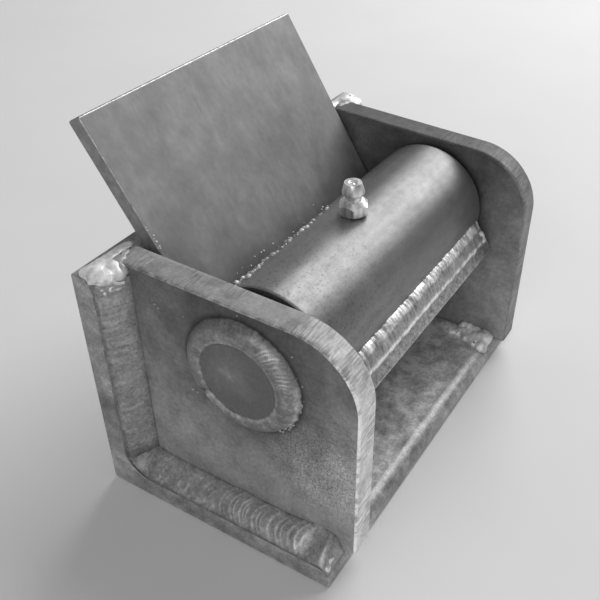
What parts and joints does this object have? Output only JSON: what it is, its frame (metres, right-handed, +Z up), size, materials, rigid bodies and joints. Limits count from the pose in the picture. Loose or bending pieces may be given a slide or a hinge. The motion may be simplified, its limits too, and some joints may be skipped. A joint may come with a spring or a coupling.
{
  "type": "dump trailer hinge",
  "caption": "Weld-on dump trailer hinge: an angle base with upright ears and a welded pin, and a greasable tube on an upper angle that swings up and forward.",
  "frame": {"origin": "middle of the base angle's underside", "axes": "+X along the pin, from the left ear to the right ear; +Y to the back, the side of the upright leg; +Z up from the trailer frame that the base is welded to"},
  "size_m": [0.1312, 0.0931, 0.1079],
  "materials": {
    "mill_steel": "raw hot-rolled steel with cloudy mill scale",
    "cut_plate": "raw flame-cut plate",
    "dark_bar": "dark matt sawn bar end",
    "weld_metal": "bare weld metal, rippled",
    "tube_steel": "bare drawn tube, satin",
    "zinc_steel": "bright zinc plate"
  },
  "bodies": {
    "base": {"base_angle": "mill_steel", "left_ear": "cut_plate", "right_ear": "cut_plate", "hinge_pin": "dark_bar", "left_back_weld": "weld_metal", "right_back_weld": "weld_metal", "left_foot_weld": "weld_metal", "right_foot_weld": "weld_metal", "left_pin_weld": "weld_metal", "right_pin_weld": "weld_metal", "right_ear_tack": "weld_metal"},
    "upper": {"upper_angle": "mill_steel", "pivot_tube": "tube_steel", "tube_weld": "weld_metal", "nipple_body": "zinc_steel", "nipple_ball": "zinc_steel", "nipple_spring": "zinc_steel"}
  },
  "joints": [
    {"name": "flap_swing", "type": "hinge", "parent": "base", "child": "upper", "pos_m": [0, -0.0073, 0.0571], "axis": [1, 0, 0], "range_deg": [0, 180]}
  ]
}
